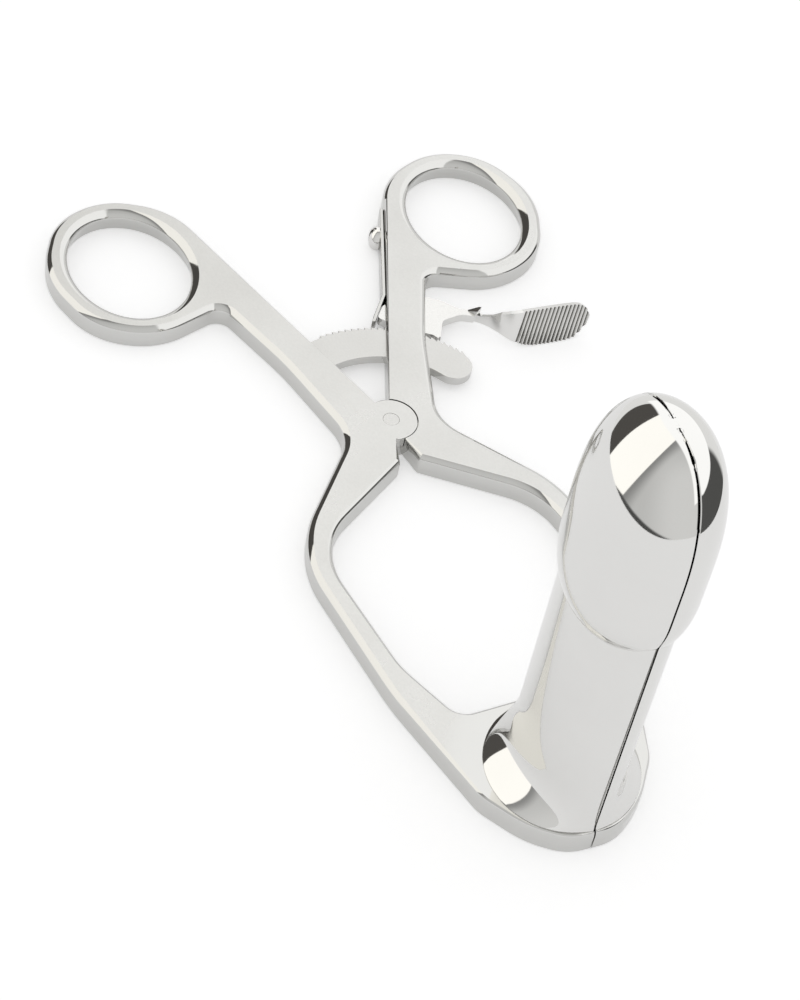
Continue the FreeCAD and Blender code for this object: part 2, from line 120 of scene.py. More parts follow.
def product(*masks):
    """Mask that is 1 only where all the masks are."""
    total = masks[0]
    for mask in masks[1:]:
        times = nodes.new("ShaderNodeMath")
        times.operation = "MULTIPLY"
        links.new(total, times.inputs[0])
        links.new(mask, times.inputs[1])
        total = times.outputs[0]
    return total


def paint(under, mask, color):
    """Lays a colour over the one below where the mask is 1."""
    mix = nodes.new("ShaderNodeMix")
    mix.data_type = "RGBA"
    links.new(mask, mix.inputs["Factor"])
    if isinstance(under, tuple):
        mix.inputs["A"].default_value = (*under, 1)
    else:
        links.new(under, mix.inputs["A"])
    mix.inputs["B"].default_value = (*color, 1)
    return mix.outputs["Result"]


room = paint((0.60, 0.60, 0.59), facing((0, -1, 0.25), 0.1, 0.9), (0.74, 0.74, 0.73))
near_edge, far_edge, low_edge = (-0.35, 0.91, 0.22), (-0.08, -0.99, 0.10), (-0.33, 0.25, 0.91)
room = paint(room, facing(near_edge, 0.16, 0.42), (0.28, 0.28, 0.275))
right_of_room = product(facing((0.95, -0.30, 0), 0.60, 0.72), facing((0, -1, 0), -0.30, -0.20))
room = paint(room, right_of_room, (0.09, 0.09, 0.087))
room = paint(room, facing([-v for v in far_edge], 0.64, 0.66), (0.085, 0.080, 0.074))
room = paint(room, facing((0, 0, -1), 0.34, 0.37), (0.08, 0.08, 0.078))
sweep = product(facing((0.587, 0.402, -0.703), 0.265, 0.285), facing((0, 1, 0), 0.10, 0.25))
room = paint(room, sweep, (0.86, 0.86, 0.85))
box_left = product(facing(far_edge, -0.66, -0.645), facing(near_edge, 0.405, 0.425), facing(low_edge, 0.03, 0.045))
room = paint(room, box_left, (1.25, 1.23, 1.17))
box_right = product(facing((1, 0, 0), 0.20, 0.26), facing((-0.2, 0, 1), 0.11, 0.15))
room = paint(room, box_right, (1.20, 1.20, 1.19))
lamp = nodes.new("ShaderNodeBackground")
links.new(room, lamp.inputs["Color"])
even = nodes.new("ShaderNodeBackground")
even.inputs["Color"].default_value = (0.80, 0.80, 0.80, 1)
white = nodes.new("ShaderNodeBackground")
white.inputs["Color"].default_value = (1, 1, 1, 1)
path = nodes.new("ShaderNodeLightPath")
spread = nodes.new("ShaderNodeMixShader")
links.new(path.outputs["Is Glossy Ray"], spread.inputs[0])
links.new(even.outputs[0], spread.inputs[1])
links.new(lamp.outputs[0], spread.inputs[2])
lens = nodes.new("ShaderNodeMixShader")
links.new(path.outputs["Is Camera Ray"], lens.inputs[0])
links.new(spread.outputs[0], lens.inputs[1])
links.new(white.outputs[0], lens.inputs[2])
world_out = nodes.new("ShaderNodeOutputWorld")
links.new(lens.outputs[0], world_out.inputs["Surface"])

bpy.context.scene.view_settings.view_transform = "Standard"


# Stainless steel comes from one bar of stock: it is ground to a satin on its flat faces,
# with a very fine grain, and polished on every slope, where faint haze is left by the cloth.
finish = bpy.data.node_groups.new("steel_finish", "ShaderNodeTree")
for label, kind, value in (("Satin", "NodeSocketFloat", 0.0), ("Tint", "NodeSocketColor", (0.8, 0.8, 0.8, 1)),
                           ("Satin Roughness", "NodeSocketFloat", 0.34),
                           ("Polish Roughness", "NodeSocketFloat", 0.05), ("Grain", "NodeSocketFloat", 0.3)):
    finish.interface.new_socket(label, in_out="INPUT", socket_type=kind).default_value = value
for label, kind in (("Color", "NodeSocketColor"), ("Roughness", "NodeSocketFloat"), ("Normal", "NodeSocketVector")):
    finish.interface.new_socket(label, in_out="OUTPUT", socket_type=kind)


def node(tree, kind, *feeds, **settings):
    """Adds a node, sets its properties, and feeds its first inputs with sockets or plain values."""
    made = tree.nodes.new(kind)
    for key, value in settings.items():
        setattr(made, key, value)
    for place, feed in zip([socket for socket in made.inputs if socket.enabled], feeds):
        if isinstance(feed, bpy.types.NodeSocket):
            tree.links.new(feed, place)
        elif feed is not None:
            place.default_value = feed
    return made


stock = finish.nodes.new("NodeGroupInput")
made_of = finish.nodes.new("NodeGroupOutput")
place = finish.nodes.new("ShaderNodeTexCoord").outputs["Object"]
grain = node(finish, "ShaderNodeTexNoise", place)
grain.inputs["Scale"].default_value = 2300
grain.inputs["Detail"].default_value = 3
haze = node(finish, "ShaderNodeTexNoise", place)
haze.inputs["Scale"].default_value = 60
haze.inputs["Detail"].default_value = 4
lines = node(finish, "ShaderNodeTexNoise", node(finish, "ShaderNodeMapping", place, None, None, (2900, 1500, 2900)).outputs[0])
lines.inputs["Scale"].default_value = 1
lines.inputs["Detail"].default_value = 2
fine = node(finish, "ShaderNodeMath", grain.outputs[0], 0.5, node(finish, "ShaderNodeMath", lines.outputs[0], 0.5,
            operation="MULTIPLY").outputs[0], operation="MULTIPLY_ADD").outputs[0]
shade = node(finish, "ShaderNodeMapRange", fine, 0.25, 0.75, 0.95, 1.03).outputs[0]
even = node(finish, "ShaderNodeMapRange", haze.outputs[0], 0.3, 0.7, 0.985, 1.01).outputs[0]
depth = node(finish, "ShaderNodeMix", stock.outputs["Satin"], even, shade, data_type="FLOAT").outputs[0]
tone = node(finish, "ShaderNodeVectorMath", stock.outputs["Tint"], operation="SCALE")
finish.links.new(depth, tone.inputs["Scale"])
finish.links.new(tone.outputs[0], made_of.inputs["Color"])
rough = node(finish, "ShaderNodeMix", stock.outputs["Satin"], stock.outputs["Polish Roughness"],
             stock.outputs["Satin Roughness"], data_type="FLOAT").outputs[0]
smudge = node(finish, "ShaderNodeMapRange", haze.outputs[0], 0.3, 0.7, 0.8, 1.25).outputs[0]
finish.links.new(node(finish, "ShaderNodeMath", rough, smudge, operation="MULTIPLY").outputs[0],
                 made_of.inputs["Roughness"])
relief = finish.nodes.new("ShaderNodeBump")
relief.inputs["Distance"].default_value = 0.00002
finish.links.new(node(finish, "ShaderNodeMath", stock.outputs["Satin"], stock.outputs["Grain"],
                      operation="MULTIPLY").outputs[0], relief.inputs["Strength"])
finish.links.new(fine, relief.inputs["Height"])
finish.links.new(relief.outputs[0], made_of.inputs["Normal"])

flat_face = bpy.data.node_groups.new("flat_face", "ShaderNodeTree")
flat_face.interface.new_socket("Mask", in_out="OUTPUT", socket_type="NodeSocketFloat")
normal = node(flat_face, "ShaderNodeSeparateXYZ", flat_face.nodes.new("ShaderNodeTexCoord").outputs["Normal"])
upward = node(flat_face, "ShaderNodeMath", normal.outputs[2], operation="ABSOLUTE").outputs[0]
level = node(flat_face, "ShaderNodeMapRange", upward, 0.975, 0.995, interpolation_type="SMOOTHSTEP").outputs[0]
flat_face.links.new(level, flat_face.nodes.new("NodeGroupOutput").inputs["Mask"])


def steel(name, tint, satin_roughness, polish_roughness, satin=0.0, polished_round=None):
    """Steel with a satin share, or with satin on its flat faces only where the share is None."""
    material = bpy.data.materials.new(name)
    material.use_nodes = True
    tree = material.node_tree
    shader = tree.nodes["Principled BSDF"]
    shader.inputs["Metallic"].default_value = 1.0
    stuff = node(tree, "ShaderNodeGroup", node_tree=finish)
    stuff.inputs["Tint"].default_value = (*tint, 1)
    stuff.inputs["Satin Roughness"].default_value = satin_roughness
    stuff.inputs["Polish Roughness"].default_value = polish_roughness
    if satin is None:
        mask = node(tree, "ShaderNodeGroup", node_tree=flat_face).outputs[0]
        if polished_round:
            # the polish round the foot of the blades runs out over the flange
            centre, reach = polished_round
            spot = tree.nodes.new("ShaderNodeTexCoord").outputs["Object"]
            offset = node(tree, "ShaderNodeVectorMath", spot, (centre[0], centre[1], 0), operation="SUBTRACT")
            plan = node(tree, "ShaderNodeVectorMath", offset.outputs[0], (1, 1, 0), operation="MULTIPLY")
            away = node(tree, "ShaderNodeVectorMath", plan.outputs[0], operation="LENGTH").outputs["Value"]
            outside = node(tree, "ShaderNodeMapRange", away, reach, reach + 0.006,
                           interpolation_type="SMOOTHSTEP").outputs[0]
            mask = node(tree, "ShaderNodeMath", mask, outside, operation="MULTIPLY").outputs[0]
        tree.links.new(mask, stuff.inputs["Satin"])
    else:
        stuff.inputs["Satin"].default_value = satin
    tree.links.new(stuff.outputs["Color"], shader.inputs["Base Color"])
    tree.links.new(stuff.outputs["Roughness"], shader.inputs["Roughness"])
    tree.links.new(stuff.outputs["Normal"], shader.inputs["Normal"])
    return material


# Blades: two half shells, drawn from sheet and polished like a mirror, with a flared root
# that is brazed into the flange of each lever. Their edges are rounded where they meet.
blade_y = -0.0866
shaft_x, shaft_y, wall, seam = 0.0086, 0.01395, 0.0015, 0.00015
flare_x, flare_y, flare_height, flare_scale, flare_power = 0.006, 0.00075, 0.010, 0.0032, 1.3
head_x, head_y, head_foot, head_waist, head_dome, head_top = 0.0111, 0.0152, 0.052, 0.064, 0.071, 0.0959
foot_x, foot_y, dome_power = 0.0067, 0.0092, 2.6
plate = 0.005
blade_sides = 144


def deselect():
    bpy.ops.object.select_all(action="DESELECT")


def pick(piece):
    deselect()
    piece.select_set(True)
    bpy.context.view_layer.objects.active = piece


def oval_stack(name, levels, centre=(0, 0), lean=0.0, sides=blade_sides, tip=None):
    """Closed form through ovals at a row of levels: half width, half length and height."""
    half_x, half_y, z = levels[0]
    deselect()
    bpy.ops.mesh.primitive_circle_add(vertices=sides, radius=1, fill_type="NGON", location=(0, 0, 0))
    form = bpy.context.object
    form.name = form.data.name = name
    bpy.ops.object.mode_set(mode="EDIT")
    bpy.ops.mesh.select_all(action="SELECT")
    bpy.ops.transform.resize(value=(half_x, half_y, 1), center_override=(0, 0, 0))
    bpy.ops.transform.translate(value=(0, 0, z))
    for wide, long, high in levels[1:]:
        bpy.ops.mesh.extrude_region_move(TRANSFORM_OT_translate={"value": (0, 0, high - z)})
        bpy.ops.transform.resize(value=(wide / half_x, long / half_y, 1), center_override=(0, 0, high))
        half_x, half_y, z = wide, long, high
    if tip is not None:
        bpy.ops.mesh.extrude_region_move(TRANSFORM_OT_translate={"value": (0, 0, tip - z)})
        bpy.ops.mesh.merge(type="CENTER")
    bpy.ops.mesh.select_all(action="SELECT")
    bpy.ops.mesh.normals_make_consistent(inside=False)
    bpy.ops.object.mode_set(mode="OBJECT")
    form.location = (*centre, 0)
    form.rotation_euler.z = math.radians(lean)
    bpy.ops.object.transform_apply(location=True, rotation=True, scale=True)
    return form


def combine(piece, operation, *others):
    """Joins others to the piece, or cuts them out of it."""
    for other in others:
        pick(piece)
        bpy.ops.object.modifier_add(type="BOOLEAN")
        joint = piece.modifiers[-1]
        joint.operation, joint.object, joint.solver = operation, other, "EXACT"
        bpy.ops.object.modifier_apply(modifier=joint.name)
        bpy.data.objects.remove(other)
    return piece


def copy_of(piece, name):
    twin = piece.copy()
    twin.data = piece.data.copy()
    twin.name = twin.data.name = name
    bpy.context.collection.objects.link(twin)
    return twin


def mirrored(piece, name):
    """Copy on the other side of the plane x = 0."""
    twin = copy_of(piece, name)
    pick(twin)
    twin.scale.x = -1
    bpy.ops.object.transform_apply(location=True, rotation=True, scale=True)
    bpy.ops.object.mode_set(mode="EDIT")
    bpy.ops.mesh.select_all(action="SELECT")
    bpy.ops.mesh.normals_make_consistent(inside=False)
    bpy.ops.object.mode_set(mode="OBJECT")
    return twin


def round_edges(piece, width, angle, segments=2):
    """Rounds the sharp edges of a finished piece."""
    pick(piece)
    bpy.ops.object.modifier_add(type="BEVEL")
    edge = piece.modifiers[-1]
    edge.width, edge.segments, edge.limit_method = width, segments, "ANGLE"
    edge.angle_limit, edge.use_clamp_overlap = math.radians(angle), False
    bpy.ops.object.modifier_apply(modifier=edge.name)


def smooth(piece, angle, weighted=True):
    """Smooth shading up to an angle, with the large flat faces kept flat."""
    pick(piece)
    bpy.ops.object.shade_smooth_by_angle(angle=math.radians(angle))
    if weighted:
        bpy.ops.object.modifier_add(type="WEIGHTED_NORMAL")
        piece.modifiers[-1].keep_sharp = True
        bpy.ops.object.modifier_apply(modifier=piece.modifiers[-1].name)


def dress(piece, material, body, slot, *replaced):
    """Gives a finished piece its steel and its body, and hides the nodes that it stands for. The slot is not used."""
    piece.data.materials.clear()
    piece.data.materials.append(material)
    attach(piece, body)
    if replaced:
        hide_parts(*replaced)


def head_profile(inset, steps):
    """Levels of the head: a swelling from its foot to the waist, then a dome."""
    top, low = head_top - inset, head_foot + inset
    levels = []
    for step in range(steps):
        turn = math.pi / 2 * step / steps
        swell = math.sin(turn)
        levels.append((foot_x + (head_x - foot_x) * swell - inset, foot_y + (head_y - foot_y) * swell - inset,
                       head_waist - (head_waist - low) * math.cos(turn)))
    levels.append((head_x - inset, head_y - inset, head_waist))
    for step in range(2 * steps):
        turn = math.radians(88) * step / (2 * steps - 1)
        share = math.cos(turn) ** (2 / dome_power)
        levels.append(((head_x - inset) * share, (head_y - inset) * share,
                       head_dome + (top - head_dome) * math.sin(turn) ** (2 / dome_power)))
    return levels


flare = []
for step in range(17):
    height = flare_height * (step / 16) ** 1.5
    spread = math.exp(-((height / flare_scale) ** flare_power))
    flare.append((shaft_x + flare_x * spread, shaft_y + flare_y * spread, plate + height))
shell = oval_stack("blade_shell", [(shaft_x, shaft_y, 0), (shaft_x, shaft_y, plate)] + flare
                   + [(shaft_x, shaft_y, head_foot - 0.004), (shaft_x, shaft_y, head_waist)], (0, blade_y))
combine(shell, "UNION", oval_stack("head_form", head_profile(0.0, 20), (0, blade_y)))
inner_x, inner_y = shaft_x - wall, shaft_y - wall
hollow = [(inner_x + 0.0018, inner_y + 0.0018, -0.0009), (inner_x, inner_y, 0.0009), (inner_x, inner_y, 0.053)]
hollow += [(max(wide, inner_x), max(long, inner_y), high) if high < head_waist else (wide, long, high)
           for wide, long, high in head_profile(wall, 10) if high > 0.0535]
combine(shell, "DIFFERENCE", oval_stack("hollow_form", hollow, (0, blade_y)))
blade_steel = steel("mirror_polished_steel", (0.80, 0.795, 0.78), 0.30, 0.045)
for side, sign in (("left", -1), ("right", 1)):
    half = copy_of(shell, side + "_blade_shell")
    pick(half)
    bpy.ops.object.mode_set(mode="EDIT")
    bpy.ops.mesh.select_all(action="SELECT")
    bpy.ops.mesh.bisect(plane_co=(sign * seam, 0, 0), plane_no=(-sign, 0, 0), use_fill=True, clear_outer=True)
    bpy.ops.mesh.select_all(action="SELECT")
    bpy.ops.mesh.remove_doubles(threshold=0.000002)
    bpy.ops.object.mode_set(mode="OBJECT")
    round_edges(half, 0.00022, 50, 3)
    smooth(half, 14, weighted=False)
    dress(half, blade_steel, side + "_half", "blade_steel", side + "_blade")
bpy.data.objects.remove(shell)

# Levers: drop forgings, ground flat above and below, with a polished round along every edge.
# The left one carries the upper eye of the joint, the right one the lower eye and the slots.
bevel_depth, sole_bevel = 0.0014, 0.0006
ring_x, ring_y, ring_half_x, ring_half_y, ring_lean = 0.0379, 0.054, 0.0167, 0.0195, -4.4
hole_x, hole_y, hole_bevel, hole_relief = 0.0140, 0.0168, 0.0016, 0.0013
lap_radius, lap_gap, pin_radius = 0.0054, 0.00015, 0.0017
rim_radius = 0.0152
edge_turn, edge_steps = math.radians(66), 8


# the upper edge is rounded from its upright side up to a crisp line round the flat face
rounded_edge = [(math.sin(edge_turn * step / edge_steps) / math.sin(edge_turn),
                 (1 - math.cos(edge_turn * step / edge_steps)) / (1 - math.cos(edge_turn)))
                for step in range(edge_steps + 1)]


def ring_corner(first, second):
    """Corner where two tangent lines of the ring meet, given the angles of their normals."""
    rows = []
    for angle in (first, second):
        local, turn = math.radians(angle - ring_lean), math.radians(angle)
        reach = math.hypot(ring_half_x * math.cos(local), ring_half_y * math.sin(local))
        c, s = math.cos(turn), math.sin(turn)
        rows.append((c, s, reach + ring_x * c + ring_y * s))
    (a1, b1, c1), (a2, b2, c2) = rows
    det = a1 * b2 - a2 * b1
    return (c1 * b2 - c2 * b1) / det, (a1 * c2 - a2 * c1) / det


def rim_corner(first, second):
    """Corner where two tangent lines of the round flange rim meet."""
    middle = math.radians((first + second) / 2)
    reach = rim_radius / math.cos(math.radians((second - first) / 2))
    return reach * math.cos(middle), blade_y + reach * math.sin(middle)


def lever_corners():
    """Clockwise outline of the right lever: x, y, corner radius (None is the largest) and bevel."""
    medial = math.tan(math.radians(70.3))
    sides = (115, 70, 25, -20, -65, -111)
    ring = [(*ring_corner(first, second), None, 0.0012) for first, second in zip(sides, sides[1:])]
    slope = math.tan(math.radians(sides[0] - 90))
    y = (ring[0][1] + slope * (0.0022 - 0.007 / medial - ring[0][0])) / (1 - slope / medial)
    x = 0.0022 + (y - 0.007) / medial
    shank = [(0.0022 - 0.006 / medial, 0.001, 0.0003, 0.0), (x, y, None, 0.001)]
    drawn = ((22.9, 38.6, 3.2, 1.3), (15.7, 20.5, 60, 1.3), (9.6, -1.8, 10, 1.3),
             (29.9, -26.8, 24, 1.3), (24.2, -64.0, 60, 1.2), (16.9, -89.2, 9, 0.5))
    window = ((-2.0, -70.4, 0.3, 0.9), (13.9, -71.3, 4.2, 0.9), (20.1, -58.0, 20, 0.9), (25.4, -27.0, 16, 1.1),
              (2.0, -10.8, 0.8, 0.9), (0.9, -5.0, 0.4, 0.0), (0.9, -1.0, 0.3, 0.0))
    rim = [(*rim_corner(-56, -32), None, 0.0004), (*rim_corner(-90, -56), None, 0.0004),
           (-0.002, blade_y - rim_radius, 0.0003, 0.0004)]
    metres = [[tuple(value / 1000 for value in corner) for corner in part] for part in (drawn, window)]
    return shank + ring + metres[0] + rim + metres[1]


def outline(corners, amount, counts):
    """Points of the outline with every corner moved inward by its own bevel times the amount."""
    moved, total = [], len(corners)
    for i, (x, y, radius, bevel) in enumerate(corners):
        before, after = corners[i - 1], corners[(i + 1) % total]
        d1 = Vector((x - before[0], y - before[1])).normalized()
        d2 = Vector((after[0] - x, after[1] - y)).normalized()
        n1, n2 = Vector((d1.y, -d1.x)), Vector((d2.y, -d2.x))
        shift = (n1 + n2) * (bevel * amount / (1 + n1.dot(n2)))
        if radius is not None:
            convex = d1.x * d2.y - d1.y * d2.x < 0
            radius = max(radius - bevel * amount, 0.0002) if convex else radius + bevel * amount
        moved.append((Vector((x, y)) + shift, radius))
    points = []
    for i, (here, radius) in enumerate(moved):
        before, after = moved[i - 1][0], moved[(i + 1) % total][0]
        d1, d2 = (here - before).normalized(), (after - here).normalized()
        turn = d1.angle(d2)
        room = 0.48 * min((here - before).length, (after - here).length)
        length = room if radius is None else min(radius * math.tan(turn / 2), 2 * room)
        radius = length / math.tan(turn / 2)
        sign = 1 if d1.x * d2.y - d1.y * d2.x > 0 else -1
        centre = here - d1 * length + Vector((-d1.y, d1.x)) * sign * radius
        start = here - d1 * length - centre
        if len(counts) < total:
            counts.append(max(3, int(math.degrees(turn) / 3)))
        for step in range(counts[i] + 1):
            angle = sign * turn * step / counts[i]
            c, s = math.cos(angle), math.sin(angle)
            points.append((centre.x + start.x * c - start.y * s, centre.y + start.x * s + start.y * c))
    return points


def lever_blank(name):
    """Forged blank of the right lever: its outline raised level by level, with a rounded upper edge."""
    corners, counts = lever_corners(), []
    levels = [(0.0, 0.35), (0.00015, 0.1), (sole_bevel, 0.0)]
    levels += [(plate - bevel_depth + bevel_depth * rise, inward) for rise, inward in rounded_edge]
    rings = [outline(corners, amount, counts) for z, amount in levels]
    deselect()
    bpy.ops.mesh.primitive_circle_add(vertices=len(rings[0]), radius=1, fill_type="NGON", location=(0, 0, 0))
    blank = bpy.context.object
    blank.name = blank.data.name = name
    for vertex, (x, y) in zip(blank.data.vertices, rings[0]):
        vertex.co = (x, y, levels[0][0])
    bpy.ops.object.mode_set(mode="EDIT")
    bpy.ops.mesh.select_all(action="SELECT")
    for before, ring, (z, amount) in zip(rings, rings[1:], levels[1:]):
        bpy.ops.mesh.extrude_region_move()
        mesh = bmesh.from_edit_mesh(blank.data)
        where = {(round(x, 8), round(y, 8)): spot for (x, y), spot in zip(before, ring)}
        for vertex in mesh.verts:
            if vertex.select:
                spot = min(where.items(), key=lambda pair: (pair[0][0] - vertex.co.x) ** 2 + (pair[0][1] - vertex.co.y) ** 2)[1]
                vertex.co = (*spot, z)
        bmesh.update_edit_mesh(blank.data)
    bpy.ops.mesh.select_all(action="SELECT")
    bpy.ops.mesh.normals_make_consistent(inside=False)
    bpy.ops.object.mode_set(mode="OBJECT")
    return blank


def disc(radius, low, high, sides=128):
    return oval_stack("disc", [(radius, radius, low), (radius, radius, high)], sides=sides)


def sector(inner, outer, start, stop, low, high):
    """Flat sector of a ring about the pivot, spun from a small upright face."""
    deselect()
    bpy.ops.mesh.primitive_plane_add(size=1, location=(0, 0, 0))
    form = bpy.context.object
    turn = math.radians(start)
    for vertex, (radius, z) in zip(form.data.vertices, ((inner, low), (outer, low), (inner, high), (outer, high))):
        vertex.co = (radius * math.cos(turn), radius * math.sin(turn), z)
    bpy.ops.object.mode_set(mode="EDIT")
    bpy.ops.mesh.select_all(action="SELECT")
    bpy.ops.mesh.spin(steps=max(2, int(abs(stop - start) / 2)), angle=math.radians(start - stop), center=(0, 0, 0),
                      axis=(0, 0, -1))
    bpy.ops.mesh.select_all(action="SELECT")
    bpy.ops.mesh.remove_doubles(threshold=0.000001)
    bpy.ops.mesh.normals_make_consistent(inside=False)
    bpy.ops.object.mode_set(mode="OBJECT")
    return form


def block(low, high):
    """Plain box, for cuts."""
    deselect()
    bpy.ops.mesh.primitive_cube_add(size=1, location=[(a + b) / 2 for a, b in zip(low, high)])
    form = bpy.context.object
    form.scale = [b - a for a, b in zip(low, high)]
    bpy.ops.object.transform_apply(location=True, rotation=True, scale=True)
    return form


right = lever_blank("right_lever_forging")
hole = [(hole_x - hole_bevel + hole_relief, hole_y - hole_bevel + hole_relief, -0.001),
        (hole_x - hole_bevel + hole_relief * 0.8, hole_y - hole_bevel + hole_relief * 0.8, 0.0)]
for rise, inward in rounded_edge:
    growth = hole_bevel * (inward - 1)
    hole.append((hole_x + growth, hole_y + growth, plate - bevel_depth + bevel_depth * rise))
hole.append((hole_x + 0.002, hole_y + 0.002, plate + 0.0004))
combine(right, "DIFFERENCE", oval_stack("hole_form", hole, (ring_x, ring_y), ring_lean, sides=128),
        oval_stack("seat_form", [(shaft_x, shaft_y, -0.001), (shaft_x, shaft_y, plate + 0.001)], (0, blade_y)),
        block((-0.03, blade_y - 0.03, -0.01), (0.00015, blade_y + 0.03, 0.01)))
left = mirrored(right, "left_lever_forging")
right_eye = oval_stack("eye", [(lap_radius, lap_radius, 0.0), (lap_radius, lap_radius, 0.00245)], sides=128)
combine(right, "UNION", right_eye)
low, high = 0.00135, 0.00365
pocket = block((0.004, 0.018, low), (0.025, 0.0346, high))
combine(right, "DIFFERENCE", disc(lap_radius + lap_gap, 0.00245, 0.006), disc(pin_radius + 0.00005, -0.001, 0.006, 64),
        sector(0.0184, 0.0276, 20, 90, low, high), pocket)
left_eye = oval_stack("eye", [(lap_radius, lap_radius, 0.00255), (lap_radius, lap_radius, plate - 0.00022),
                              (lap_radius - 0.00006, lap_radius - 0.00006, plate - 0.00008),
                              (lap_radius - 0.0002, lap_radius - 0.0002, plate)], sides=128)
combine(left, "UNION", left_eye)
combine(left, "DIFFERENCE", disc(lap_radius + lap_gap, -0.001, 0.00255), disc(pin_radius, -0.001, 0.006, 64),
        sector(0.0188, 0.0266, 90, 113, 0.0015, 0.0035))
lever_steel = steel("ground_steel", (0.68, 0.677, 0.662), 0.30, 0.05, None, ((0, blade_y), 0.0165))
for piece, side in ((left, "left"), (right, "right")):
    smooth(piece, 13, weighted=False)
    dress(piece, lever_steel, side + "_half", "lever_steel", side + "_lever")

# Pivot pin: a plain steel pin, riveted into the left lever and ground flush with both faces,
# so that only a hair line shows round it.
pin = oval_stack("pivot_pin_rivet", [(pin_radius - 0.0001, pin_radius - 0.0001, 0.0), (pin_radius, pin_radius, 0.0001),
                                     (pin_radius, pin_radius, plate - 0.00012),
                                     (pin_radius - 0.00008, pin_radius - 0.00008, plate - 0.00002)], sides=64)
smooth(pin, 30)
pin_steel = steel("pin_steel", (0.66, 0.655, 0.64), 0.28, 0.10, None)
dress(pin, pin_steel, "left_half", "fastener_steel", "pivot_pin")

# Ratchet bar: a hardened toothed arc, let into the left shank and riveted there. It is ground
# on both faces, and its teeth are cut on the outer edge.
bar_steel = steel("ratchet_steel", (0.655, 0.65, 0.635), 0.28, 0.10, None)


def dressed_copy(source, name, width, angle):
    """Copy of a CAD node with its flats made whole and its edges just broken."""
    twin = copy_of(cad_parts[source], name)
    pick(twin)
    bpy.ops.object.mode_set(mode="EDIT")
    bpy.ops.mesh.select_all(action="SELECT")
    bpy.ops.mesh.remove_doubles(threshold=0.000001)
    bpy.ops.mesh.dissolve_limited(angle_limit=math.radians(1))
    bpy.ops.object.mode_set(mode="OBJECT")
    if width:
        round_edges(twin, width, angle)
    smooth(twin, 32)
    return twin


dress(dressed_copy("ratchet_bar", "ratchet_bar_arc", 0.00008, 40), bar_steel, "left_half", "ratchet_steel", "ratchet_bar")
for name in ("ratchet_bar_rivet", "release_lever_pin"):
    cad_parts[name].data.materials.clear()
    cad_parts[name].data.materials.append(pin_steel)

# Release lever: a pawl that bites into the bar, in one piece with a bent neck and a leaf-shaped
# pad for the finger, which is milled with slanting grooves.
pad_at, pad_lean, pad_thickness = Vector((0.0399, 0.01685, 0.0005)), math.radians(18), 0.0014
neck_x, neck_turn, neck_length, neck_bend = -0.0069, math.radians(57.4), 0.0090, 0.0080
rib_count, rib_pitch, rib_depth, rib_start, rib_lean = 17, 0.00095, 0.00042, -0.0046, math.radians(16)
leaf_low = ((-0.0240, 3.9), (-0.0126, 3.9), (-0.0104, 3.75), (-0.0084, 3.1), (-0.0056, 1.45), (-0.0030, 0.25),
            (-0.0005, -0.35), (0.0030, -0.5), (0.0070, -0.48), (0.0090, -0.10), (0.0106, 1.2), (0.0118, 2.6), (0.0125, 4.3))
leaf_high = ((-0.0240, 5.6), (-0.0126, 5.6), (-0.0104, 6.25), (-0.0078, 7.35), (-0.0056, 7.75), (-0.0030, 7.9),
             (0.0030, 7.8), (0.0070, 7.68), (0.0090, 7.55), (0.0106, 7.2), (0.0118, 6.3), (0.0125, 4.6))


def along_edge(table, x):
    """Height of an edge of the leaf, in metres, smooth between its measured points."""
    for (x0, z0), (x1, z1) in zip(table, table[1:]):
        if x <= x1:
            share = min(max((x - x0) / (x1 - x0), 0), 1)
            return (z0 + (z1 - z0) * share) / 1000
    return table[-1][1] / 1000


def on_strip(x, y):
    """Bends the flat strip at the neck: x runs along it and y through its thickness."""
    arc = neck_bend * neck_turn
    start = neck_x + neck_bend * math.tan(neck_turn / 2)
    if x >= start:
        return x, y
    turn = min((start - x) / neck_bend, neck_turn)
    rest = max(start - x - arc, 0)
    reach = neck_bend - y
    return (start - reach * math.sin(turn) - rest * math.cos(turn),
            neck_bend - reach * math.cos(turn) + rest * math.sin(turn))


deselect()
columns, rows = 260, 22
bpy.ops.mesh.primitive_grid_add(x_subdivisions=columns, y_subdivisions=rows, size=2, location=(0, 0, 0))
leaf = bpy.context.object
pick(leaf)
bpy.ops.object.mode_set(mode="EDIT")
bpy.ops.mesh.select_all(action="SELECT")
bpy.ops.mesh.extrude_region_move(TRANSFORM_OT_translate={"value": (0, 0, -1)})
bpy.ops.mesh.select_all(action="SELECT")
bpy.ops.mesh.normals_make_consistent(inside=False)
bpy.ops.object.mode_set(mode="OBJECT")
flat_root = neck_x + neck_bend * (2 * math.tan(neck_turn / 2) - neck_turn) - neck_length
for vertex in leaf.data.vertices:
    share, across, back = (vertex.co.x + 1) / 2, (vertex.co.y + 1) / 2, vertex.co.z < -0.5
    x = flat_root + (0.0125 - flat_root) * share
    low_edge, high_edge = along_edge(leaf_low, x), along_edge(leaf_high, x)
    z = low_edge + (high_edge - low_edge) * across
    thin = min(max((x + 0.004) / (flat_root + 0.004), 0), 1)
    y = pad_thickness * (1 - 0.25 * thin) if back else 0.0
    if not back:
        ridge = (x - math.tan(rib_lean) * z - rib_start) / rib_pitch
        if -0.5 < ridge < rib_count - 0.5:
            y += rib_depth * (0.5 + 0.5 * math.cos(2 * math.pi * ridge)) ** 1.6
    x, y = on_strip(x, y)
    c, s = math.cos(pad_lean), math.sin(pad_lean)
    vertex.co = pad_at + Vector((x, y * c + z * s, -y * s + z * c))
pawl = copy_of(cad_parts["release_lever"], "release_lever_pawl")
pick(pawl)
bpy.ops.object.mode_set(mode="EDIT")
bpy.ops.mesh.select_all(action="SELECT")
bpy.ops.mesh.remove_doubles(threshold=0.000001)
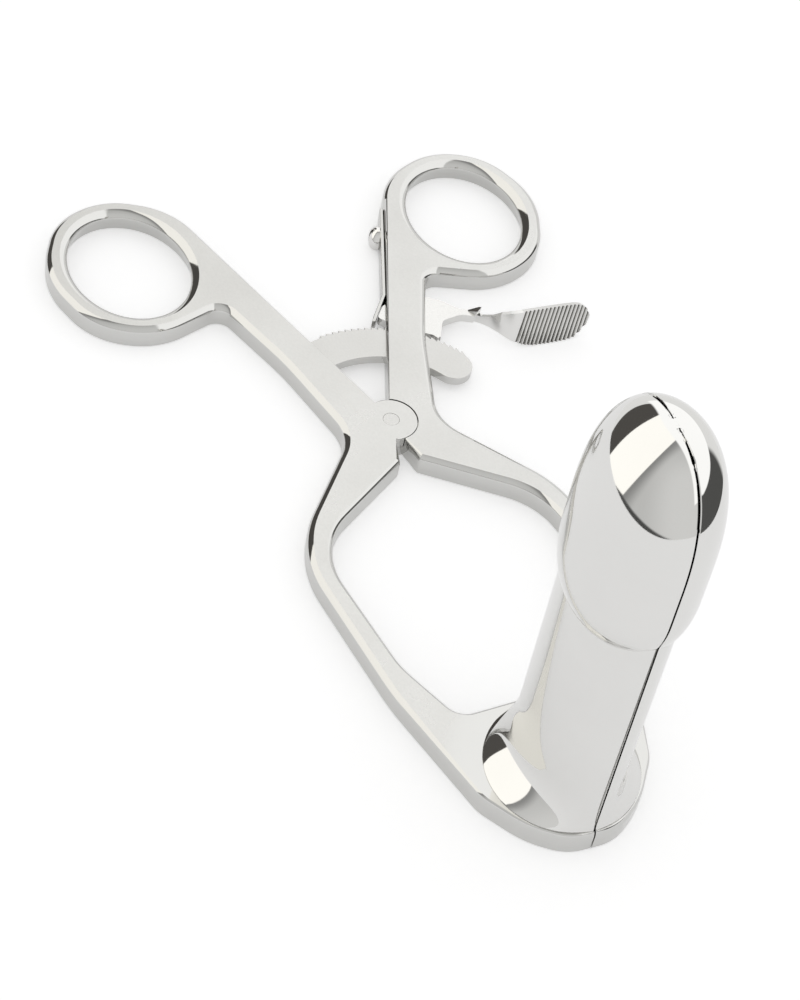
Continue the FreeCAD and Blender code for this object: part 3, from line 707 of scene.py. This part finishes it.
bpy.ops.mesh.dissolve_limited(angle_limit=math.radians(1))
bpy.ops.mesh.select_all(action="SELECT")
bpy.ops.mesh.bisect(plane_co=(0.0288, 0.0245, 0), plane_no=(0.56, -0.83, 0), use_fill=True, clear_outer=True)
bpy.ops.object.mode_set(mode="OBJECT")
corner_cut = block((0, 0.00002, -0.001), (0.010, 0.005, 0.008))
corner_cut.location, corner_cut.rotation_euler.z = (0.0262, 0.02755, 0), math.radians(-22.8)
pick(corner_cut)
bpy.ops.object.transform_apply(location=True, rotation=True, scale=True)
combine(pawl, "DIFFERENCE", corner_cut)
combine(pawl, "UNION", leaf)
smooth(pawl, 28, weighted=False)
pad_steel = steel("grooved_steel", (0.80, 0.795, 0.78), 0.26, 0.11, None)
tree = pad_steel.node_tree
# Painted shade: the grooves between the ribs on the front of the pad are darkened in the colour itself.
slant, c, s = math.tan(rib_lean), math.cos(pad_lean), math.sin(pad_lean)
across_ribs = Vector((1, -slant * s, -slant * c)) / rib_pitch
spot = tree.nodes.new("ShaderNodeTexCoord")
count = node(tree, "ShaderNodeMath", node(tree, "ShaderNodeVectorMath", spot.outputs["Object"], tuple(across_ribs),
             operation="DOT_PRODUCT").outputs["Value"], -across_ribs.dot(pad_at) - rib_start / rib_pitch).outputs[0]
swing = node(tree, "ShaderNodeMath", node(tree, "ShaderNodeMath", count, 2 * math.pi, operation="MULTIPLY").outputs[0],
             operation="COSINE").outputs[0]
groove = node(tree, "ShaderNodeMapRange", swing, -0.2, 0.9).outputs[0]
for low_end, high_end in ((-0.6, -0.4), (rib_count - 0.4, rib_count - 0.6)):
    inside = node(tree, "ShaderNodeMapRange", count, low_end, high_end).outputs[0]
    groove = node(tree, "ShaderNodeMath", groove, inside, operation="MULTIPLY").outputs[0]
front = node(tree, "ShaderNodeMapRange", node(tree, "ShaderNodeSeparateXYZ", spot.outputs["Normal"]).outputs[1],
             -0.3, -0.6).outputs[0]
groove = node(tree, "ShaderNodeMath", groove, front, operation="MULTIPLY").outputs[0]
shader = tree.nodes["Principled BSDF"]
plain = shader.inputs["Base Color"].links[0].from_socket
# the painted shade of the grooves is mixed over the plain steel colour
painted_groove_shade = node(tree, "ShaderNodeMix", groove, data_type="RGBA")
tree.links.new(plain, painted_groove_shade.inputs["A"])
painted_groove_shade.inputs["B"].default_value = (0.16, 0.155, 0.145, 1)
tree.links.new(painted_groove_shade.outputs["Result"], shader.inputs["Base Color"])
dress(pawl, pad_steel, "release_lever", "ratchet_steel", "release_lever")

# Leaf spring: a thin strip of blued-back spring steel. One screw holds it to the side of the
# right shank, and its lower end bends away to press on the tail of the pawl.
medial_turn = math.radians(70.3)
medial_base = Vector((0.0022 - 0.007 / math.tan(medial_turn), 0, 0.0025))
along, aside = Vector((math.cos(medial_turn), math.sin(medial_turn), 0)), Vector((-math.sin(medial_turn), math.cos(medial_turn), 0))
screw_r = 0.0553


def beside_shank(distance, outward):
    return medial_base + along * distance + aside * outward


spring = dressed_copy("leaf_spring", "leaf_spring_strip", 0.0001, 40)
spring.data.materials.clear()
spring.data.materials.append(bar_steel)
spring.parent = None
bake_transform(spring)
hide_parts("leaf_spring")

# Screw of the spring: a small pan head with a straight slot, turned and polished.
head_radius, head_height, slot_width, slot_depth = 0.0026, 0.0023, 0.0007, 0.0009
profile = [(head_radius - 0.0002, 0.0), (head_radius, 0.0002), (head_radius, 0.0008)]
for step in range(1, 9):
    turn = math.pi / 2 * step / 8.5
    profile.append((head_radius * math.cos(turn) ** 0.7, 0.0008 + (head_height - 0.0008) * math.sin(turn)))
screw = oval_stack("spring_screw_head", [(radius, radius, z) for radius, z in profile], sides=64, tip=head_height)
slot_cut = block((-0.004, -slot_width / 2, head_height - slot_depth), (0.004, slot_width / 2, 0.004))
combine(screw, "DIFFERENCE", slot_cut)
round_edges(screw, 0.00008, 50)
pick(screw)
screw.rotation_mode = "QUATERNION"
screw.rotation_quaternion = aside.to_track_quat("Z", "X")
screw.location = beside_shank(screw_r, 0.0007)
bpy.ops.object.transform_apply(location=True, rotation=True, scale=True)
smooth(screw, 32)
screw_steel = steel("screw_steel", (0.80, 0.79, 0.775), 0.25, 0.09)
dress(screw, screw_steel, "right_half", "fastener_steel", "spring_screw")
